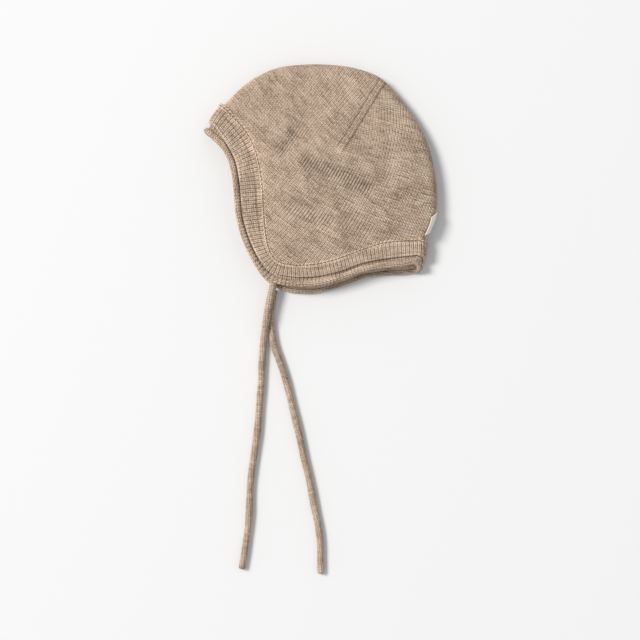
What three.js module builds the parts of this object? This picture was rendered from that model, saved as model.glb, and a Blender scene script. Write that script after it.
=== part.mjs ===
// Knitted baby bonnet lying on its side: a hollow knitted shell, the band sewn
// round its opening, the rolled edge inside that band, two ties and a label tab.
// Millimetres. +X runs to the back of the head, +Y to the crown and +Z up.
// z = 0 is the surface that the lower half lies flat on.

import * as THREE from 'three';

// ---- driving dimensions ----

const bodyWall = 2; // thickness of the single knit of the crown
const bandWall = 2.4; // the band is a thicker, doubled knit
const rollDiameter = 4.6; // the knit's free edge, curled on itself
const innerWall = 1.6; // the strip that the rolled edge grows from
const innerReach = 8; // how far that strip runs back under the band
const seamGap = 0.8; // between the crown's edge and the band
const layerGap = 0.3; // between the band and the strip under it
const tieDiameter = 5.3;
const centreX = -0.3; // from the tables' zero to the middle of the bonnet
const centreY = -0.4;
const bodyEnds = 0.006; // the crown's share that the folded band ends take at each end

const bodySteps = { along: 36, across: 30, fine: 90 };
const turnSteps = 5; // steps round each fold of the opening
const rollSides = 11;
const tieSides = 8;

// The opening from forehead to nape, a row for each section of the upper half.
// fold: the outline that the shell folds round; seam: where the band is sewn on;
// edge: the band's free edge; roll: the middle of the rolled edge.
// crest and rim are the heights of the knit's upper face at the fold and at the seam,
// round is the fold's radius in plan, drop is how far the lower half hangs out below
// the upper one, and puff is how far the middle of the section swells.
const sections = [
  { at: 'forehead', fold: [-74.4, 54.3], seam: [-69.8, 50.6], edge: [-78.6, 38.5], roll: [-81.5, 33.5],
    crest: 15, rim: 15, round: 5.9, drop: 0, puff: 0 },
  { at: 'temple', fold: [-63.2, 65.2], seam: [-55.9, 34.9], edge: [-69, 24], roll: [-71.3, 23],
    crest: 15.4, rim: 15.6, round: 7, drop: 0, puff: 0.8 },
  { at: 'upper cheek', fold: [-51, 75.3], seam: [-48.4, 19.9], edge: [-63.6, 13], roll: [-66.2, 11.8],
    crest: 14.2, rim: 16.2, round: 8, drop: 0, puff: 3.4 },
  { at: 'cheek', fold: [-33.6, 83.4], seam: [-43.9, -2.6], edge: [-60.4, -4], roll: [-63.2, -4.5],
    crest: 14, rim: 16.4, round: 9, drop: 0, puff: 5.2 },
  { at: 'lower cheek', fold: [-12, 86.4], seam: [-42.4, -27.4], edge: [-58, -29], roll: [-60.7, -29.5],
    crest: 14, rim: 16.2, round: 9.5, drop: 0, puff: 6.2 },
  { at: 'jaw', fold: [8, 86.2], seam: [-40, -47], edge: [-51.5, -49], roll: [-54.2, -50.2],
    crest: 14, rim: 15.8, round: 9.5, drop: 0, puff: 6.8 },
  { at: 'ear flap', fold: [26, 83.6], seam: [-36.5, -57], edge: [-44.4, -61.5], roll: [-46.8, -64],
    crest: 14.2, rim: 15.6, round: 9.5, drop: 0.8, puff: 7 },
  { at: 'flap tip', fold: [43.6, 77.2], seam: [-31.2, -62.2], edge: [-35, -70], roll: [-36.8, -74],
    crest: 14.6, rim: 15.6, round: 10, drop: 2.4, puff: 7 },
  { at: 'behind the flap', fold: [58, 62.8], seam: [-22, -64.6], edge: [-22, -73.2], roll: [-22.6, -77.9],
    crest: 15, rim: 15.6, round: 10.5, drop: 4.4, puff: 6.8 },
  { at: 'below the ear', fold: [71, 45.3], seam: [-5, -64.4], edge: [-3, -73], roll: [-4, -77.9],
    crest: 15.4, rim: 15.8, round: 11, drop: 4.8, puff: 6.2 },
  { at: 'neck side', fold: [80, 28], seam: [12, -60.5], edge: [14, -69.2], roll: [15, -73.4],
    crest: 15.6, rim: 16, round: 11, drop: 4.8, puff: 5.2 },
  { at: 'neck', fold: [85.2, 9], seam: [30, -53.8], edge: [32, -62.8], roll: [33, -67.1],
    crest: 15.6, rim: 16.2, round: 11, drop: 4.8, puff: 4 },
  { at: 'neck back', fold: [87.3, -8], seam: [47, -48.4], edge: [48, -59.8], roll: [49, -64.4],
    crest: 15.4, rim: 16.2, round: 10.5, drop: 5, puff: 2.6 },
  { at: 'beside the nape', fold: [86.8, -24], seam: [62, -47], edge: [62, -58], roll: [62.4, -63],
    crest: 15.2, rim: 15.8, round: 9, drop: 5.8, puff: 1 },
  { at: 'nape', fold: [78.2, -47], seam: [72.6, -46.4], edge: [72, -57], roll: [69.4, -61.4],
    crest: 15, rim: 15, round: 5.9, drop: 6.4, puff: 0 },
];

// Which way the knit turns over at the two ends of the fold.
const foreheadTurn = new THREE.Vector3(-0.78, 0.62, 0).normalize();
const napeTurn = new THREE.Vector3(0.98, -0.2, 0).normalize();

// Troughs pressed into the upper half, each along a line.
const dents = [
  { from: [-9, 12], to: [35, -7], width: 5.5, depth: 3.2 },
  { from: [-21, -24], to: [6, -32], width: 5, depth: 2.2 },
  { from: [51, 24], to: [51, -2], width: 4, depth: 0.9 },
  { from: [16, -24], to: [33, -38], width: 6, depth: 1.2 },
  { from: [-14, 37], to: [-29, 20], width: 5.5, depth: 1.3 },
];

// Middle lines of the ties. The upper one starts under the rolled edge of the upper
// flap, runs over the lower tie and comes down to the surface beyond it.
const upperTieRoute = [
  [-33.6, -71.5, 8.1], [-34.4, -75.6, 8.1], [-35.6, -80, 8.3], [-37, -85.5, 8.5], [-38.6, -91.9, 8.5],
  [-39.8, -98, 8.4], [-40.6, -103.4, 8], [-41.3, -108.6, 7], [-42.1, -114, 5.4], [-42.8, -119, 4],
  [-43.3, -124, 3.1], [-43.7, -130, 2.75], [-44.2, -141, 2.75], [-44.9, -155, 2.75], [-46, -168, 2.75],
  [-47, -182, 2.75], [-48.8, -198, 2.75], [-51, -213, 2.75], [-52.8, -227, 2.75], [-53.5, -240, 2.75],
  [-54, -254, 2.75], [-55.6, -268, 2.75], [-57.4, -281, 2.75], [-59.4, -293.5, 2.75],
];
const lowerTieRoute = [
  [-34.6, -82.3, 2.75], [-35.6, -87, 2.75], [-36.6, -94, 2.75], [-37.1, -103.9, 2.75], [-36.8, -113.6, 2.75],
  [-34.9, -124.9, 2.75], [-30.6, -136.9, 2.75], [-26.6, -149.3, 2.75], [-22.6, -165.4, 2.75],
  [-18.6, -181.9, 2.75], [-15.4, -195.4, 2.75], [-12, -211.9, 2.75], [-9, -224, 2.75], [-6.7, -235.9, 2.75],
  [-4.5, -247.9, 2.75], [-1.9, -259.9, 2.75], [-0.4, -271, 2.75], [0, -284, 2.75], [0, -297, 2.75],
];
const tieSteps = 44;

// The bare label tab sewn in at the back fold, wrapped up over it.
const label = { top: -24.6, bottom: -39.4, thickness: 0.8, clearance: 0.35, length: 11 };

// ---- curves through the table ----

function smooth(x) {
  return x * x * (3 - 2 * x);
}

function curveOf(place, height) {
  const points = sections.map((row) => new THREE.Vector3(row[place][0], row[place][1], row[height]));
  return new THREE.CatmullRomCurve3(points);
}

const foldCurve = curveOf('fold', 'crest');
const seamCurve = curveOf('seam', 'rim');
const edgeCurve = curveOf('edge', 'rim');
const rollCurve = curveOf('roll', 'rim');
const shapeCurve = new THREE.CatmullRomCurve3(
  sections.map((row) => new THREE.Vector3(row.round, row.drop, row.puff)),
);

function dentAt(x, y) {
  let sum = 0;
  for (const dent of dents) {
    const line = new THREE.Line3(
      new THREE.Vector3(dent.from[0], dent.from[1], 0),
      new THREE.Vector3(dent.to[0], dent.to[1], 0),
    );
    const here = new THREE.Vector3(x, y, 0);
    const nearest = line.closestPointToPoint(here, true, new THREE.Vector3());
    const away = here.distanceTo(nearest) / dent.width;
    sum += dent.depth * Math.exp(-away * away);
  }
  return sum;
}

// ---- closed meshes from grids ----

// rows is a list of equally long rows of points. Rows and columns close on
// themselves where asked, and the caller sees to the rest of the closing.
function gridFaces(rowCount, columnCount, offset, closedRows, closedColumns, flip) {
  const faces = [];
  const lastRow = closedRows ? rowCount : rowCount - 1;
  const lastColumn = closedColumns ? columnCount : columnCount - 1;
  for (let i = 0; i < lastRow; i += 1) {
    for (let j = 0; j < lastColumn; j += 1) {
      const nextRow = (i + 1) % rowCount;
      const nextColumn = (j + 1) % columnCount;
      const a = offset + i * columnCount + j;
      const b = offset + nextRow * columnCount + j;
      const c = offset + nextRow * columnCount + nextColumn;
      const d = offset + i * columnCount + nextColumn;
      faces.push(...(flip ? [a, c, b, a, d, c] : [a, b, c, a, c, d]));
    }
  }
  return faces;
}

function geometryOf(points, faces) {
  const geometry = new THREE.BufferGeometry();
  const values = points.flatMap((point) => [point.x, point.y, point.z]);
  geometry.setAttribute('position', new THREE.Float32BufferAttribute(values, 3));
  geometry.setIndex(faces);
  geometry.computeVertexNormals();
  return geometry;
}

// The same sheet moved out of its own face.
function movedOut(rows, distance) {
  const columnCount = rows[0].length;
  const sheet = geometryOf(rows.flat(), gridFaces(rows.length, columnCount, 0, false, false, true));
  const normals = sheet.getAttribute('normal');
  return rows.map((row, i) => row.map((point, j) => {
    const normal = new THREE.Vector3().fromBufferAttribute(normals, i * columnCount + j);
    return point.clone().addScaledVector(normal, distance);
  }));
}

// A sheet with walls: the middle surface thickened both ways, closed round its rim.
function thickSheet(rows, thickness) {
  const rowCount = rows.length;
  const columnCount = rows[0].length;
  const outer = movedOut(rows, thickness / 2).flat();
  const inner = movedOut(rows, -thickness / 2).flat();
  const count = rowCount * columnCount;
  const faces = [
    ...gridFaces(rowCount, columnCount, 0, false, false, true),
    ...gridFaces(rowCount, columnCount, count, false, false, false),
  ];
  const rim = [];
  for (let j = 0; j < columnCount; j += 1) rim.push(j);
  for (let i = 1; i < rowCount; i += 1) rim.push(i * columnCount + columnCount - 1);
  for (let j = columnCount - 2; j >= 0; j -= 1) rim.push((rowCount - 1) * columnCount + j);
  for (let i = rowCount - 2; i > 0; i -= 1) rim.push(i * columnCount);
  for (let k = 0; k < rim.length; k += 1) {
    const a = rim[k];
    const b = rim[(k + 1) % rim.length];
    faces.push(a, count + b, b, a, count + a, count + b);
  }
  return geometryOf([...outer, ...inner], faces);
}

// ---- the crown ----

// One section: flat under the head, round the fold, and back over the upper half.
function bodySection(t, steps) {
  const fold = foldCurve.getPoint(t);
  const seam = seamCurve.getPoint(t);
  const shape = shapeCurve.getPoint(t);
  const radius = shape.x;
  const half = bodyWall / 2;
  const lowSeam = new THREE.Vector2(seam.x, seam.y - shape.y);
  const topSeam = new THREE.Vector2(seam.x, seam.y);
  const outline = new THREE.Vector2(fold.x, fold.y);
  const points = [];
  const place = (from, inward, z) => {
    const span = from.clone().sub(outline);
    const flat = outline.clone().addScaledVector(span.normalize(), inward);
    points.push(new THREE.Vector3(flat.x, flat.y, z));
  };
  const lowLength = lowSeam.distanceTo(outline);
  const topLength = topSeam.distanceTo(outline);
  const middle = fold.z / 2;
  const rise = middle - half;
  for (let k = 0; k < bodySteps.fine; k += 1) {
    const inward = lowLength + ((half + radius - lowLength) * k) / bodySteps.fine;
    place(lowSeam, Math.max(inward, half + radius), half);
  }
  for (let k = 0; k <= bodySteps.fine; k += 1) {
    const angle = -Math.PI / 2 + (Math.PI * k) / bodySteps.fine;
    const from = angle < 0 ? lowSeam : topSeam;
    const reach = Math.min(radius, (angle < 0 ? lowLength : topLength) - half);
    place(from, half + reach * (1 - Math.cos(angle)), middle + rise * Math.sin(angle));
  }
  for (let k = 1; k <= bodySteps.fine; k += 1) {
    const share = k / bodySteps.fine;
    const inward = half + radius + (topLength - half - radius) * share;
    const height = fold.z + (seam.z - fold.z) * smooth(share) + shape.z * Math.sin(Math.PI * share);
    place(topSeam, Math.max(inward, half + radius), height - half);
    const last = points[points.length - 1];
    last.z -= dentAt(last.x, last.y) * Math.sin(Math.PI * Math.min(1, share + 0.08)) ** 0.5;
  }
  return evenly(points, steps);
}

// The same line cut into equal lengths.
function evenly(points, steps) {
  const lengths = [0];
  for (let k = 1; k < points.length; k += 1) {
    lengths.push(lengths[k - 1] + points[k].distanceTo(points[k - 1]));
  }
  const total = lengths[lengths.length - 1];
  const even = [];
  let k = 1;
  for (let step = 0; step <= steps; step += 1) {
    const target = (total * step) / steps;
    while (k < points.length - 1 && lengths[k] < target) k += 1;
    const share = (target - lengths[k - 1]) / (lengths[k] - lengths[k - 1] || 1);
    even.push(points[k - 1].clone().lerp(points[k], Math.min(1, Math.max(0, share))));
  }
  return even;
}

function bodyGeometry() {
  const rows = [];
  for (let i = 0; i <= bodySteps.along; i += 1) {
    const t = bodyEnds + ((1 - 2 * bodyEnds) * i) / bodySteps.along;
    rows.push(bodySection(t, bodySteps.across));
  }
  return thickSheet(rows, bodyWall);
}

// ---- the band and the rolled edge ----

// A closed loop round the opening: forehead to nape on the upper half, round the
// fold, back on the lower half and round the fold again.
function openingLoop(curve) {
  const half = bandWall / 2;
  const loop = [];
  const stations = bodySteps.along;
  const upper = (t) => {
    const point = curve.getPoint(t);
    return new THREE.Vector3(point.x, point.y, point.z - half);
  };
  const lower = (t) => {
    const point = curve.getPoint(t);
    return new THREE.Vector3(point.x, point.y - shapeCurve.getPoint(t).y, half);
  };
  const turn = (from, to, way) => {
    for (let k = 1; k < turnSteps; k += 1) {
      const angle = (Math.PI * k) / turnSteps;
      const radius = Math.abs(from.z - to.z) / 2;
      const point = from.clone().lerp(to, (1 - Math.cos(angle)) / 2);
      loop.push(point.addScaledVector(way, radius * Math.sin(angle)));
    }
  };
  for (let i = 0; i <= stations; i += 1) loop.push(upper(i / stations));
  turn(upper(1), lower(1), napeTurn);
  for (let i = stations; i >= 0; i -= 1) loop.push(lower(i / stations));
  turn(lower(0), upper(0), foreheadTurn);
  return loop;
}

// Sweeps a cross-section round the opening. outline(reach, rollReach) gives its
// points as [away from the seam, out of the knit's face].
function sweptRound(outline) {
  const seam = openingLoop(seamCurve);
  const edge = openingLoop(edgeCurve);
  const roll = openingLoop(rollCurve);
  const points = [];
  let columns = 0;
  seam.forEach((start, k) => {
    const before = edge[(k + edge.length - 1) % edge.length];
    const after = edge[(k + 1) % edge.length];
    const along = after.clone().sub(before);
    const away = edge[k].clone().sub(start);
    const reach = away.length();
    away.normalize();
    const face = away.clone().cross(along).normalize();
    const toRoll = Math.max(roll[k].clone().sub(edge[k]).length(), rollDiameter / 2 + seamGap);
    const beyond = roll[k].clone().sub(edge[k]).normalize();
    const section = outline(reach, toRoll);
    columns = section.length;
    for (const [out, up] of section) {
      const point = start.clone();
      point.addScaledVector(away, Math.min(out, reach));
      point.addScaledVector(beyond, Math.max(0, out - reach));
      point.addScaledVector(face, up);
      points.push(point);
    }
  });
  const faces = gridFaces(seam.length, columns, 0, true, true, true);
  return geometryOf(points, faces);
}

function bandSection(reach) {
  const half = bandWall / 2;
  const soft = 0.6;
  return [
    [seamGap, -half], [seamGap, half], [reach / 2, half], [reach - soft, half],
    [reach, half - soft], [reach, soft - half], [reach - soft, -half], [reach / 2, -half],
  ];
}

// The strip under the band, running out into the curled edge.
function rollSection(reach, toRoll) {
  const radius = rollDiameter / 2;
  const centreUp = bandWall / 2 - radius;
  const top = -bandWall / 2 - layerGap;
  const bottom = top - innerWall;
  const start = Math.asin((top - centreUp) / radius);
  const end = -Math.asin((bottom - centreUp) / radius);
  const points = [[Math.max(seamGap, reach - innerReach), bottom], [Math.max(seamGap, reach - innerReach), top]];
  const first = Math.PI - start;
  const last = end - Math.PI;
  for (let k = 0; k <= rollSides; k += 1) {
    const angle = first + ((last - first) * k) / rollSides;
    points.push([reach + toRoll + radius * Math.cos(angle), centreUp + radius * Math.sin(angle)]);
  }
  return points;
}

// ---- ties and label ----

function tieGeometry(route) {
  const path = new THREE.CatmullRomCurve3(route.map((point) => new THREE.Vector3(...point)));
  const circle = new THREE.Shape();
  for (let k = 0; k < tieSides; k += 1) {
    const angle = (2 * Math.PI * k) / tieSides;
    const x = (tieDiameter / 2) * Math.cos(angle);
    const y = (tieDiameter / 2) * Math.sin(angle);
    if (k === 0) circle.moveTo(x, y);
    else circle.lineTo(x, y);
  }
  circle.closePath();
  return new THREE.ExtrudeGeometry(circle, { extrudePath: path, steps: tieSteps, bevelEnabled: false });
}

// How far along the opening the back fold comes to a given height of the head.
function foldAt(y) {
  let low = 0.5;
  let high = 1;
  for (let k = 0; k < 40; k += 1) {
    const middle = (low + high) / 2;
    if (foldCurve.getPoint(middle).y > y) low = middle;
    else high = middle;
  }
  return low;
}

// The tab lies on the knit from the outermost line of the fold up over it.
function labelGeometry() {
  const rows = [];
  const heights = 5;
  const arcs = 8;
  const fine = 300;
  for (let i = 0; i <= heights; i += 1) {
    const t = foldAt(label.top + ((label.bottom - label.top) * i) / heights);
    const fold = foldCurve.getPoint(t);
    const section = bodySection(t, fine);
    const step = section[1].distanceTo(section[0]);
    const start = section.findIndex((point) => point.z > fold.z / 2);
    const row = [];
    for (let j = 0; j <= arcs; j += 1) {
      row.push(section[start + Math.round((label.length * j) / arcs / step)]);
    }
    rows.push(row);
  }
  const away = bodyWall / 2 + label.clearance + label.thickness / 2;
  return thickSheet(movedOut(rows, away), label.thickness);
}

// ---- the assembly ----

const knit = (colour) => new THREE.MeshStandardMaterial({ color: colour, roughness: 0.95, metalness: 0 });
const crownKnit = knit(0xb29a85);
const bandKnit = knit(0xa7917d);
const tieKnit = knit(0xa3876f);
const labelCloth = new THREE.MeshStandardMaterial({ color: 0xe9e1d2, roughness: 0.85, metalness: 0 });

const pieces = [
  ['body', bodyGeometry(), crownKnit],
  ['edge_band', sweptRound(bandSection), bandKnit],
  ['rolled_edge', sweptRound(rollSection), bandKnit],
  ['tie_upper', tieGeometry(upperTieRoute), tieKnit],
  ['tie_lower', tieGeometry(lowerTieRoute), tieKnit],
  ['label_tab', labelGeometry(), labelCloth],
];

const bonnet = new THREE.Group();
bonnet.position.set(centreX, centreY, 0);
for (const [name, geometry, material] of pieces) {
  const mesh = new THREE.Mesh(geometry, material);
  mesh.name = name;
  bonnet.add(mesh);
}

export default bonnet;
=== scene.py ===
import math
import bpy
import numpy as np
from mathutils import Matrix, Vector
from mathutils.bvhtree import BVHTree


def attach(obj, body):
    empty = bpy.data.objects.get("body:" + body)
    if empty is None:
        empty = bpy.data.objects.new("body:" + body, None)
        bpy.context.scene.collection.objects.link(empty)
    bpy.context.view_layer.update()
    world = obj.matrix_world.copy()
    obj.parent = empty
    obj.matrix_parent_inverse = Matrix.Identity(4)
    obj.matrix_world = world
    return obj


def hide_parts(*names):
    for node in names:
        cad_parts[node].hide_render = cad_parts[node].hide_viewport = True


# A knitted baby bonnet lying on its side, its ties trailing down from the flaps.
# Tables are in millimetres, in the part's own frame before its centring shift.
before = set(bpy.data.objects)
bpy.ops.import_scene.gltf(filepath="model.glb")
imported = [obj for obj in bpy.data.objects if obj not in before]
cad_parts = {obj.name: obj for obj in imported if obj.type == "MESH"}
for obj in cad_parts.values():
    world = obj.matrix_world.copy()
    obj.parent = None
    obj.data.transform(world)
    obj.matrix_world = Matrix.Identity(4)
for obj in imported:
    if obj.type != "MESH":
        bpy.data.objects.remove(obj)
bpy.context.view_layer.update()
mm = 0.001
centring = np.array([-0.3, -0.4, 0.0])


studio = {
    "lens": 85.0,             # mm, on a 36 mm sensor
    "aimX": -0.7,             # mm, the spot on the table under the camera
    "aimY": -105.8,
    "cameraHeight": 1142.0,
    "keyPower": 620.0,        # W
    "keySize": 2.8,           # m, larger is softer
    "keyDistance": 8.0,       # m
    "keyElevation": 48.0,     # degrees above the table
    "keyFrom": 156.0,         # degrees round from the back of the head
    "keyAim": (0.0, -0.03, 0.0),
    "skyStrength": 0.62,
    "skyColour": (0.955, 0.975, 1.0, 1),
    "floorColour": (0.715, 0.715, 0.715, 1),
}


def buildStudio():
    scene = bpy.context.scene
    camera = bpy.data.objects.new("camera", bpy.data.cameras.new("camera"))
    camera.data.lens = studio["lens"]
    camera.location = (studio["aimX"] * mm, studio["aimY"] * mm, studio["cameraHeight"] * mm)
    camera.data.clip_end = 20
    scene.collection.objects.link(camera)
    scene.camera = camera

    key = bpy.data.lights.new("key", "AREA")
    key.shape = "DISK"
    key.size = studio["keySize"]
    key.energy = studio["keyPower"]
    key.color = (1.0, 0.985, 0.96)
    keyObject = bpy.data.objects.new("key", key)
    up = math.radians(studio["keyElevation"])
    around = math.radians(studio["keyFrom"])
    way = Vector((math.cos(up) * math.cos(around), math.cos(up) * math.sin(around), math.sin(up)))
    keyObject.location = Vector(studio["keyAim"]) + way * studio["keyDistance"]
    keyObject.rotation_euler = way.to_track_quat("Z", "Y").to_euler()
    scene.collection.objects.link(keyObject)

    world = bpy.data.worlds.new("studio")
    world.use_nodes = True
    sky = world.node_tree.nodes["Background"]
    sky.inputs["Color"].default_value = studio["skyColour"]
    sky.inputs["Strength"].default_value = studio["skyStrength"]
    scene.world = world
    scene.view_settings.view_transform = "Standard"
    scene.view_settings.look = "None"

    bpy.ops.mesh.primitive_plane_add(size=6, location=(0, 0, 0))
    floor = bpy.context.object
    floor.name = "floor"
    paint = bpy.data.materials.new("palePaper")
    paint.use_nodes = True
    shader = paint.node_tree.nodes["Principled BSDF"]
    shader.inputs["Base Color"].default_value = studio["floorColour"]
    shader.inputs["Roughness"].default_value = 0.8
    shader.inputs["Specular IOR Level"].default_value = 0.2
    floor.data.materials.append(paint)


buildStudio()
print("camera and studio ready")


# A row for each section of the upper half, from forehead to nape.
# fold: x, y and the crest's height; seam: x, y and the rim's height; edge and roll: x, y.
# round: the fold's radius; drop: how far the half underneath peeks out; puff: how far the middle swells.
sections = [
    # fold                  seam                  edge            roll          round drop puff
    ((-74.4, 54.3, 15.0), (-69.8, 50.6, 15.0), (-78.6, 38.5), (-81.5, 33.5), (5.9, 0.0, 0.0)),
    ((-63.2, 65.2, 15.4), (-55.9, 34.9, 15.6), (-69.0, 24.0), (-71.3, 23.0), (7.0, 0.0, 0.8)),
    ((-51.0, 75.3, 14.2), (-48.4, 19.9, 16.2), (-63.6, 13.0), (-66.2, 11.8), (8.0, 0.0, 3.4)),
    ((-33.6, 83.4, 14.0), (-43.9, -2.6, 16.4), (-60.4, -4.0), (-63.2, -4.5), (9.0, 0.0, 5.2)),
    ((-12.0, 86.4, 14.0), (-42.4, -27.4, 16.2), (-58.0, -29.0), (-60.7, -29.5), (9.5, 0.0, 6.2)),
    ((8.0, 86.2, 14.0), (-40.0, -47.0, 15.8), (-51.5, -49.0), (-54.2, -50.2), (9.5, 0.0, 6.8)),
    ((26.0, 83.6, 14.2), (-36.5, -57.0, 15.6), (-44.4, -61.5), (-46.8, -64.0), (9.5, 0.8, 7.0)),
    ((43.6, 77.2, 14.6), (-31.2, -62.2, 15.6), (-35.0, -70.0), (-36.8, -74.0), (10.0, 2.4, 7.0)),
    ((58.0, 62.8, 15.0), (-22.0, -64.6, 15.6), (-22.0, -73.2), (-22.6, -77.9), (10.5, 4.4, 6.8)),
    ((71.0, 45.3, 15.4), (-5.0, -64.4, 15.8), (-3.0, -73.0), (-4.0, -77.9), (11.0, 4.8, 6.2)),
    ((80.0, 28.0, 15.6), (12.0, -60.5, 16.0), (14.0, -69.2), (15.0, -73.4), (11.0, 4.8, 5.2)),
    ((85.2, 9.0, 15.6), (30.0, -53.8, 16.2), (32.0, -62.8), (33.0, -67.1), (11.0, 4.8, 4.0)),
    ((87.3, -8.0, 15.4), (47.0, -48.4, 16.2), (48.0, -59.8), (49.0, -64.4), (10.5, 5.0, 2.6)),
    ((86.8, -24.0, 15.2), (62.0, -47.0, 15.8), (62.0, -58.0), (62.4, -63.0), (9.0, 5.8, 1.0)),
    ((78.2, -47.0, 15.0), (72.6, -46.4, 15.0), (72.0, -57.0), (69.4, -61.4), (5.9, 6.4, 0.0)),
]
foreheadTurn = np.array([-0.78, 0.62, 0.0])
napeTurn = np.array([0.98, -0.2, 0.0])

# Troughs in the upper half: from, to, width, depth.
dents = [
    ((-9.0, 12.0), (35.0, -7.0), 5.5, 3.2),
    ((-21.0, -24.0), (6.0, -32.0), 5.0, 2.2),
    ((51.0, 24.0), (51.0, -2.0), 4.0, 0.9),
    ((16.0, -24.0), (33.0, -38.0), 6.0, 1.2),
    ((-14.0, 37.0), (-29.0, 20.0), 5.5, 1.3),
]

crown = {
    "wall": 2.0,
    "underBand": 3.4,         # mm of crown hidden under the band
    "tuck": 1.7,              # mm that this part turns in
    "pastFold": 14.0,         # degrees that each half runs past the middle of the fold
    "ripple": 0.35,           # mm of soft unevenness
}


# A centripetal Catmull-Rom curve through points, at an array of shares of its rows.
def splineAt(points, share):
    points = np.asarray(points, float)
    count = len(points)
    share = np.clip(np.asarray(share, float), 0, 1) * (count - 1)
    index = np.clip(np.floor(share).astype(int), 0, count - 2)
    weight = (share - index)[:, None]
    padded = np.vstack([2 * points[0] - points[1], points, 2 * points[-1] - points[-2]])
    before, start, end, after = (padded[index + k] for k in range(4))

    def knot(a, b):
        return np.maximum(np.linalg.norm(b - a, axis=1, keepdims=True) ** 0.5, 1e-4)

    first, second, third = knot(before, start), knot(start, end), knot(end, after)
    leave = (start - before) / first - (end - before) / (first + second) + (end - start) / second
    arrive = (end - start) / second - (after - start) / (second + third) + (after - end) / third
    leave, arrive = leave * second, arrive * second
    square = -3 * start + 3 * end - 2 * leave - arrive
    cube = 2 * start - 2 * end + leave + arrive
    return start + leave * weight + square * weight ** 2 + cube * weight ** 3


foldPoints = [row[0] for row in sections]
seamPoints = [row[1] for row in sections]
edgePoints = [row[2] + (row[1][2],) for row in sections]
rollPoints = [row[3] + (row[1][2],) for row in sections]
shapePoints = [row[4] for row in sections]


def smooth(x):
    x = np.clip(x, 0, 1)
    return x * x * (3 - 2 * x)


def unit(v):
    return v / np.maximum(np.linalg.norm(v, axis=-1, keepdims=True), 1e-9)


def dentAt(x, y):
    total = np.zeros_like(x)
    for start, end, width, depth in dents:
        ax, ay = start
        bx, by = end[0] - ax, end[1] - ay
        along = np.clip(((x - ax) * bx + (y - ay) * by) / (bx * bx + by * by), 0, 1)
        away = np.hypot(x - ax - along * bx, y - ay - along * by) / width
        total += depth * np.exp(-away ** 2)
    return total


def rippleAt(x, y):
    waves = [(0.11, 0.05, 0.4), (-0.06, 0.13, 1.9), (0.17, -0.09, 3.1), (0.05, 0.21, 5.2)]
    return sum(np.sin(a * x + b * y + c) for a, b, c in waves) * crown["ripple"] / len(waves) * 2


# Half of the shell, as rows of outer points and the same points laid out flat.
# side is 1 for the upper half and -1 for the half it lies on.
def halfSheet(side, rowCount=220):
    t = np.linspace(0, 1, rowCount)
    fold = splineAt(foldPoints, t)
    seam = splineAt(seamPoints, t)
    shape = splineAt(shapePoints, t)
    radius, drop, puff = shape[:, 0], shape[:, 1], shape[:, 2]
    seamXY = seam[:, :2].copy()
    if side < 0:
        seamXY[:, 1] -= drop
    length = np.linalg.norm(seamXY - fold[:, :2], axis=1)
    inwardWay = unit(seamXY - fold[:, :2])
    reach = np.minimum(radius, length)
    middle = fold[:, 2] / 2
    rows, flats = [], []

    def add(inward, z, flatInward):
        xy = fold[:, :2] + inwardWay * inward[:, None]
        rows.append(np.column_stack([xy, z]))
        flats.append(fold[:, :2] + inwardWay * flatInward[:, None])

    for angle in np.radians(np.linspace(-crown["pastFold"], 90, 18)):
        inward = reach * (1 - math.cos(angle))
        z = middle + side * middle * math.sin(angle)
        add(inward, z, reach - (math.pi / 2 - angle) * (reach + middle) / 2)
    for share in np.linspace(0, 1, 64)[1:]:
        inward = reach + (length - reach) * share
        if side > 0:
            z = fold[:, 2] + (seam[:, 2] - fold[:, 2]) * smooth(share) + puff * math.sin(math.pi * share)
            xy = fold[:, :2] + inwardWay * inward[:, None]
            z = z - dentAt(xy[:, 0], xy[:, 1]) * math.sin(math.pi * min(1, share + 0.08)) ** 0.5
            z = z + rippleAt(xy[:, 0], xy[:, 1]) * math.sin(math.pi * share) ** 0.5
        else:
            z = np.zeros_like(inward)
        add(inward, z, inward)
    for tuck in np.linspace(0, 1, 5)[1:]:
        inward = length + crown["underBand"] * tuck
        start = seam[:, 2] if side > 0 else 0 * length
        add(inward, start - side * crown["tuck"] * smooth(tuck * 1.2), inward)
    return np.stack(rows, 1), np.stack(flats, 1)


def gridTriangles(rowCount, columnCount):
    index = np.arange(rowCount * columnCount).reshape(rowCount, columnCount)
    a, b, c, d = index[:-1, :-1], index[1:, :-1], index[1:, 1:], index[:-1, 1:]
    halves = [np.stack([a, b, c], -1), np.stack([a, c, d], -1)]
    return np.concatenate([half.reshape(-1, 3) for half in halves])


def pointNormals(points, triangles):
    first, second, third = (points[triangles[:, k]] for k in range(3))
    faces = np.cross(second - first, third - first)
    normals = np.zeros_like(points)
    for k in range(3):
        np.add.at(normals, triangles[:, k], faces)
    return unit(normals)


knit = {
    "wale": 2.2,              # mm from one column of stitches to the next
    "course": 1.65,           # mm from one row to the next
    "lean": 60.0,             # degrees, the way the columns run at the middle
    "turn": 0.0032,           # radians a mm, how they swing upright to the back
    "middle": (18.4, -7.9),
    "lineStart": (13.1, 18.4),    # the fully-fashioned line, from its low end
    "lineEnd": (44.6, 70.1),
    "lineSwing": 20.0,        # degrees that the columns turn in towards that line
    "lineReach": 35.0,        # mm over which they do
    "fullGather": 5.0,        # mm of trough in which the columns stand out as ribs
    "gather": 0.8,            # how much deeper the knit is there
    "lineGroove": 0.4,        # mm, the two furrows beside the fashioned line
    "furrowFrom": 2.7,        # mm from the line to the middle of each furrow
    "furrowWidth": 0.8,
    "lineOverlap": 0.5,       # mm that the two panels overlap under the line
    "overlapFrom": -30.0,     # mm along the line where the overlap starts
    "level": 0.85,            # relief that lies at the sheet's own height
}
lineStart = np.array(knit["lineStart"])
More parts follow.
